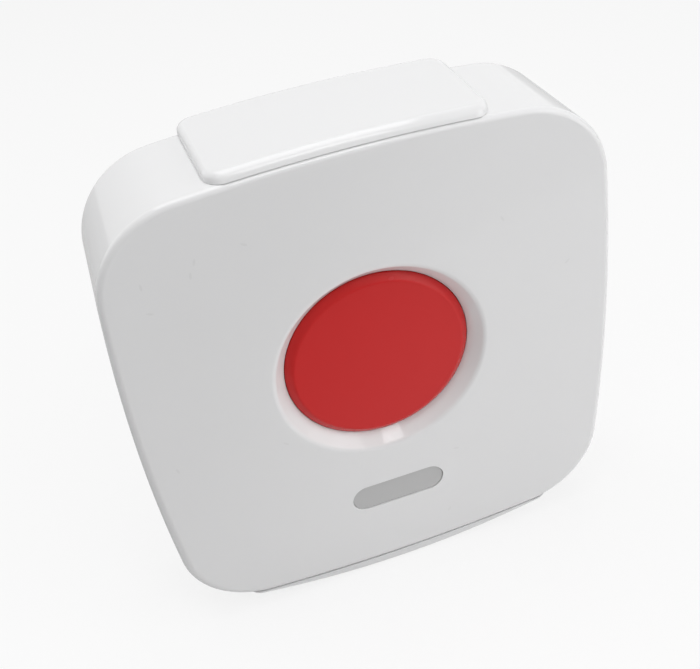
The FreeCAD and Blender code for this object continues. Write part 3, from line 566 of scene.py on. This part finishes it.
def bend(x, z, radius, start, end):
    """Points of a profile along an arc, angles in radians."""
    for i in range(BEND_STEPS + 1):
        angle = start + (end - start) * i / BEND_STEPS
        yield x + radius * math.cos(angle), z + radius * math.sin(angle)


def rounding(radius, steps):
    """Inset and drop along a quarter round, from the wall to the face."""
    for i in range(steps + 1):
        angle = math.pi / 2 * i / steps
        yield radius * (1 - math.cos(angle)), radius * (1 - math.sin(angle))


def merged(node):
    """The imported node's shape, lying on its back in millimetres, with its triangles joined up."""
    bm = bmesh.new()
    bm.from_mesh(NODES[node].data)
    bmesh.ops.transform(bm, matrix=UPRIGHT.inverted(), verts=bm.verts)
    bmesh.ops.remove_doubles(bm, verts=bm.verts, dist=SAME)
    return bm


def piece(bm, name, body, slot, node):
    """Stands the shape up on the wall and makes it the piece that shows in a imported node's stead."""
    bmesh.ops.transform(bm, matrix=UPRIGHT, verts=bm.verts)
    bmesh.ops.recalc_face_normals(bm, faces=bm.faces)
    for face in bm.faces:
        face.smooth = True
    for edge in bm.edges:
        edge.smooth = len(edge.link_faces) == 2 and edge.calc_face_angle(0) < SHARP
    mesh = bpy.data.meshes.new(name)
    bm.to_mesh(mesh)
    bm.free()
    made = bpy.data.objects.new(name, mesh)
    bpy.context.scene.collection.objects.link(made)
    made.data.materials.append(finish_for(slot))
    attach(made, body)
    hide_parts(node)
    return made


class PANIC_OT_finishes(bpy.types.Operator):
    """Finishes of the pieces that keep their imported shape"""
    bl_idname = "panic.finishes"
    bl_label = "Finishes"

    def execute(self, context):
        for part in frame["record"]["subparts"]:
            materials = NODES[part["node"]].data.materials
            materials.clear()
            materials.append(finish_for(part["material_slot"]))
        return {"FINISHED"}


class PANIC_OT_case(bpy.types.Operator):
    """Front moulding of the case: bowed walls, face, dished collar, sleeve and posts"""
    bl_idname = "panic.case"
    bl_label = "Case"

    def execute(self, context):
        case = context.scene.panic_case
        badge = context.scene.panic_badge
        button = context.scene.panic_button
        inside = case.front - case.face_wall
        recess = case.back + case.rim_depth
        pocket = case.front - badge.depth
        bm = bmesh.new()
        loft(bm, self.outside(bm, case))
        bmesh.ops.translate(bm, verts=bm.verts, vec=(0, case.lift, 0))
        for inset, low, high in ((case.main_wall, recess, inside), (case.rim_wall, case.back, recess)):
            loft(bm, [case_loop(bm, case, inset, level) for level in (low, high)])
        loft(bm, [pill_loop(bm, badge, level) for level in (pocket, case.front)])
        turned(bm, 0, button.rise, list(self.collar(case, button)))
        for level in (case.back, recess, inside, pocket, case.front):
            close_at(bm, level)
        self.posts(bm, context.scene.panic_posts, button, inside)
        piece(bm, "case_front", "case", "white_gloss", "front_cover")
        return {"FINISHED"}

    def outside(self, bm, case):
        """Loops of the outer skin, from the back edge to the face."""
        loops = [case_loop(bm, case, inset, case.back + drop)
                 for inset, drop in rounding(case.back_round, BACK_STEPS)]
        loops.reverse()
        loops.append(case_loop(bm, case, 0, case.back + case.back_round + STRIP))
        loops.append(self.eased(bm, case, 0, case.front_round + STRIP))
        for inset, drop in rounding(case.front_round, FRONT_STEPS):
            loops.append(self.eased(bm, case, inset, drop))
        loops.append(self.eased(bm, case, case.front_round + FACE_STRIP, 0))
        return loops

    def eased(self, bm, case, inset, drop):
        """Outline on the front rounding, which grows from the top edge to the bottom edge."""
        loop = case_loop(bm, case, inset, case.front - drop)
        gain = case.round_gain / case.front_round
        for vert in {vert for edge in loop for vert in edge.verts}:
            share = gain * (0.5 - vert.co.y / case.half_height / 2)
            vert.co.x *= 1 - share * inset / case.half_width
            vert.co.y *= 1 - share * inset / case.half_height
            vert.co.z -= share * drop
        return loop

    def collar(self, case, button):
        """Radius and level from the face, over the soft edge, down the dish and round the sleeve."""
        turn = math.atan2(button.dish, button.mouth - button.hole)
        soft = button.collar_round
        start = button.mouth + soft * math.tan(turn / 2)
        lip = case.front - button.dish
        yield start + FACE_STRIP, case.front
        yield from bend(start, case.front - soft, soft, math.pi / 2, math.pi / 2 + turn)
        yield button.hole, lip
        yield button.hole, lip - button.lip
        yield button.bore, lip - button.lip
        yield button.bore, button.ring
        yield button.sleeve, button.ring
        yield button.sleeve, case.front - case.face_wall

    def posts(self, bm, posts, button, inside):
        """Screw posts behind the face, each a plain tube sunk a little into it."""
        spots = [(x, y, posts.case_end, posts.case_radius, posts.case_bore)
                 for x in (posts.case_x, -posts.case_x)
                 for y in (posts.case_y, -posts.case_y)]
        spots += [(x, y, posts.board_end, posts.board_radius, posts.small_bore)
                  for x in (posts.board_right, -posts.board_left)
                  for y in (posts.board_y, -posts.board_y)]
        for i in range(3):
            angle = posts.ear_turn + math.tau / 3 * i
            x = posts.ear_reach * math.cos(angle)
            y = button.rise + posts.ear_reach * math.sin(angle)
            spots.append((x, y, button.ring, posts.ear_radius, posts.small_bore))
        foot = inside + posts.sink
        for x, y, level, outer, bore in spots:
            tube = [(outer, level), (outer, foot), (bore, foot), (bore, level)]
            turned(bm, x, y, tube, POST_STEPS, closed=True)


class PANIC_OT_press_cap(bpy.types.Operator):
    """Red press cap with its shoulder, skirt, stem and ribs"""
    bl_idname = "panic.press_cap"
    bl_label = "Press cap"

    def execute(self, context):
        button = context.scene.panic_button
        inside = context.scene.panic_inside
        profile = [*self.shoulder(button), *self.underside(button, inside)]
        bm = bmesh.new()
        turned(bm, 0, button.rise, profile)
        close_at(bm, button.cap_top)
        close_at(bm, inside.stem_end)
        self.ribs(bm, button, inside)
        piece(bm, "press_cap", "button", "red_gloss", "button_cap")
        return {"FINISHED"}

    def shoulder(self, button):
        """Radius and level from the cap's flat face, down its sloping shoulder, to its side."""
        lean = math.pi / 2 - button.slope
        outer_x = button.cap - button.outer_round
        end_x = outer_x + button.outer_round * math.cos(lean)
        end_z = button.side_top + button.outer_round * math.sin(lean)
        inner_z = button.cap_top - button.inner_round
        start_z = inner_z + button.inner_round * math.sin(lean)
        start_x = end_x - (start_z - end_z) / math.tan(button.slope)
        inner_x = start_x - button.inner_round * math.cos(lean)
        yield inner_x - STRIP, button.cap_top
        yield from bend(inner_x, inner_z, button.inner_round, math.pi / 2, lean)
        yield from bend(outer_x, button.side_top, button.outer_round, lean, 0)

    def underside(self, button, inside):
        """Radius and level from the cap's side, round its skirt and spring guide, to the stem's end."""
        skirt_bore = inside.skirt - inside.skirt_wall
        guide_bore = inside.guide - inside.guide_wall
        yield button.cap, inside.skirt_top
        yield inside.skirt, inside.skirt_top
        yield inside.skirt, inside.skirt_end
        yield skirt_bore, inside.skirt_end
        yield skirt_bore, inside.hollow_step
        yield inside.hollow, inside.hollow_step
        yield inside.hollow, inside.hollow_top
        yield inside.guide, inside.hollow_top
        yield inside.guide, inside.guide_end
        yield guide_bore, inside.guide_end
        yield guide_bore, inside.hollow_top
        yield inside.stem, inside.hollow_top
        yield inside.stem, inside.stem_end

    def ribs(self, bm, button, inside):
        """Six ribs behind the cap's face."""
        for i in range(6):
            verts = block(bm, (inside.rib_from, -inside.rib_half, inside.hollow_step),
                          (inside.rib_to, inside.rib_half, inside.hollow_top + inside.rib_sink))
            bmesh.ops.rotate(bm, verts=verts, matrix=Matrix.Rotation(math.tau / 6 * i, 3, "Z"))
            bmesh.ops.translate(bm, verts=verts, vec=(0, button.rise, 0))


class PANIC_OT_bracket(bpy.types.Operator):
    """Wall bracket: the upper arm narrows to its front, and the ledge runs out to fine tips"""
    bl_idname = "panic.bracket"
    bl_label = "Bracket"

    def execute(self, context):
        bm = merged("wall_bracket")
        front = max(vert.co.z for vert in bm.verts)
        for vert in bm.verts:
            self.reshape(vert.co, front, context.scene.panic_case, context.scene.panic_bracket)
        made = piece(bm, "wall_bracket_moulding", "bracket", "white_plastic", "wall_bracket")
        made.modifiers.new("even_shading", "WEIGHTED_NORMAL").keep_sharp = True
        return {"FINISHED"}

    def reshape(self, spot, front, case, bracket):
        """Moves one point: the arm's front end, the plate's side edges and the ledge's ends."""
        x, y, z = spot
        side = math.copysign(1, x)
        if y > ARM_LEVEL:
            share = (y + self.over(case, bracket, x)) / bracket.arm
            forward = min(max((z - front + bracket.nose) / bracket.nose, 0), 1)
            spot.z += forward * (bracket.reach - bracket.lean * share)
        if y > LEDGE_LEVEL and SIDE_FROM < abs(x) < SIDE_TO:
            spot.x -= side * (bracket.trim + bracket.taper * z / front)
            if y > ARM_LEVEL:
                spot.y += (x ** 2 - spot.x ** 2) / (2 * case.top_bow)
        elif y < LEDGE_LEVEL and abs(x) > SIDE_TO:
            under = self.under(bracket, x)
            share = (y - under) / (self.over(case, bracket, x) - under)
            spot.x += side * bracket.tip
            under = self.under(bracket, spot.x)
            spot.y = under + share * (self.over(case, bracket, spot.x) - under)

    def under(self, bracket, x):
        """Level of the ledge's underside."""
        return x ** 2 / (2 * bracket.foot_bow) - bracket.foot

    def over(self, case, bracket, x):
        """Level of the ledge's upper side, which the arm's underside mirrors above the middle."""
        return x ** 2 / (2 * case.top_bow) - (case.half_height + bracket.gap)


class PANIC_OT_return_spring(bpy.types.Operator):
    """Return spring, remade from its imported node and fixed to the case; the share it would shorten to
    as the cap is pressed is worked out but not used
    """
    bl_idname = "panic.return_spring"
    bl_label = "Return spring"

    def execute(self, context):
        made = piece(merged("return_spring"), "spring_coil", "case", "spring_steel", "return_spring")
        joints = frame["record"]["behaviour"]["joints"]
        travel = next(joint["range_m"][1] for joint in joints if joint["name"] == "button_press")
        free_end, seat = (corner.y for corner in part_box("return_spring"))
        1 - travel / (seat - free_end)
        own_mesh(made)
        return {"FINISHED"}


class PANIC_OT_stage(bpy.types.Operator):
    """Floor, soft lights, pale surroundings and the camera at the photograph's angle"""
    bl_idname = "panic.stage"
    bl_label = "Stage"

    def execute(self, context):
        scene = context.scene
        scene.view_settings.view_transform = "Standard"
        self.camera(scene)
        self.floor(scene)
        self.lamps(scene)
        self.world(scene)
        return {"FINISHED"}

    def camera(self, scene):
        """Camera at the photograph's angle."""
        camera = bpy.data.cameras.new("camera")
        camera.sensor_fit = "HORIZONTAL"
        camera.sensor_width = 36
        camera.lens = scene.panic_studio.lens
        camera.clip_start = 0.005
        camera.clip_end = 20
        eye = bpy.data.objects.new("camera", camera)
        scene.collection.objects.link(eye)
        back = CAMERA_RIGHT.cross(CAMERA_UP)
        turn = Matrix((CAMERA_RIGHT, CAMERA_UP, back)).transposed().to_4x4()
        eye.matrix_world = Matrix.Translation(CAMERA_SPOT) @ turn
        scene.camera = eye

    def floor(self, scene):
        """Plain pale floor just below the object. The camera sees it white."""
        level = CAD_BOX[0].z - FLOOR_GAP
        bm = bmesh.new()
        bmesh.ops.create_grid(bm, x_segments=1, y_segments=1, size=FLOOR_REACH,
                              matrix=Matrix.Translation((0, 0, level)))
        mesh = bpy.data.meshes.new("floor")
        bm.to_mesh(mesh)
        bm.free()
        floor = bpy.data.objects.new("floor", mesh)
        scene.collection.objects.link(floor)
        floor.data.materials.append(self.floor_finish())

    def floor_finish(self):
        """Matt white that glows white to the camera, and to the gloss in zones from near black to twice
        white: painted reflections and a painted glare.
        """
        paint = Paint(bpy.data.materials.new("floor_white"))
        camera = paint.node("ShaderNodeLightPath", out="Is Camera Ray")
        glossy = paint.node("ShaderNodeLightPath", out="Is Glossy Ray")
        spot = paint.node("ShaderNodeTexCoord", out="Object")
        edges = {name: paint.step(spot, *edge) for name, edge in FLOOR_EDGES.items()}
        # Painted reflections: to the gloss the floor glows dim, brighter far in front and middle grey
        # near the object.
        front = paint.blend(edges["far"], grey(0.35), grey(1.0))
        front = paint.blend(edges["near"], front, grey(0.7))
        # Painted dark reflection: on the left of the edge the zones glow nearly black to the gloss.
        left = paint.blend(0.9, front, grey(0.0))
        # Painted glare: on the right of the edge they glow towards twice white.
        right = paint.blend(0.25, front, grey(2.0))
        front = paint.blend(edges["aside"], left, right)
        # Painted reflection: behind the object the floor glows a steady grey to the gloss.
        painted_reflections = paint.blend(edges["behind"], front, grey(0.6))
        matt = paint.node("ShaderNodeBsdfDiffuse", None, grey(0.8))
        glow = paint.node("ShaderNodeEmission", None, paint.blend(camera, painted_reflections, grey(1.0)))
        mixed = paint.node("ShaderNodeMixShader", None, camera * 0.8 + glossy, matt, glow)
        paint.node("ShaderNodeOutputMaterial", None, mixed)
        return paint.holder

    def lamps(self, scene):
        """Large soft panels round the object."""
        for name, (spot, size, power) in LAMPS.items():
            lamp = bpy.data.lights.new(name, "AREA")
            lamp.shape = "SQUARE"
            lamp.size = size
            lamp.energy = power
            made = bpy.data.objects.new(name, lamp)
            scene.collection.objects.link(made)
            made.location = spot
            made.rotation_mode = "QUATERNION"
            made.rotation_quaternion = (-Vector(spot)).to_track_quat("-Z", "Y")

    def world(self, scene):
        """Even light. The camera sees it white, and the gloss nearly so behind the object."""
        paint = Paint(bpy.data.worlds.new("studio"))
        camera = paint.node("ShaderNodeLightPath", out="Is Camera Ray")
        glossy = paint.node("ShaderNodeLightPath", out="Is Glossy Ray")
        behind = paint.step(paint.node("ShaderNodeTexCoord", out="Generated"), (0, 1, 0), 0.0, 0.3)
        sky = paint.blend(glossy * behind, grey(scene.panic_studio.sky), grey(0.95))
        glow = paint.node("ShaderNodeBackground", None, paint.blend(camera, sky, grey(1.0)), 1.0)
        paint.node("ShaderNodeOutputWorld", None, glow)
        scene.world = paint.holder


class PANIC_PT_panel(bpy.types.Panel):
    """Sizes and colours of each group, and a button for each operator"""
    bl_idname = "PANIC_PT_panel"
    bl_label = "Panic button"
    bl_space_type = "VIEW_3D"
    bl_region_type = "UI"
    bl_category = "Panic button"

    def draw(self, context):
        for group in GROUPS:
            sizes = getattr(context.scene, group)
            box = self.layout.box()
            for name in sizes.bl_rna.properties.keys():
                if name not in ("rna_type", "name"):
                    box.prop(sizes, name)
        for operator in OPERATORS:
            self.layout.operator(operator.bl_idname)


OPERATORS = (PANIC_OT_finishes, PANIC_OT_case, PANIC_OT_press_cap, PANIC_OT_bracket,
             PANIC_OT_return_spring, PANIC_OT_stage)
CLASSES = (*GROUPS.values(), *OPERATORS, PANIC_PT_panel)


def register():
    for item in CLASSES:
        bpy.utils.register_class(item)
    for name, group in GROUPS.items():
        setattr(bpy.types.Scene, name, PointerProperty(type=group))


def unregister():
    for name in GROUPS:
        delattr(bpy.types.Scene, name)
    for item in reversed(CLASSES):
        bpy.utils.unregister_class(item)


def main():
    register()
    bpy.ops.panic.finishes()
    bpy.ops.panic.case()
    bpy.ops.panic.press_cap()
    bpy.ops.panic.bracket()
    bpy.ops.panic.return_spring()
    bpy.ops.panic.stage()


if __name__ == "__main__":
    main()
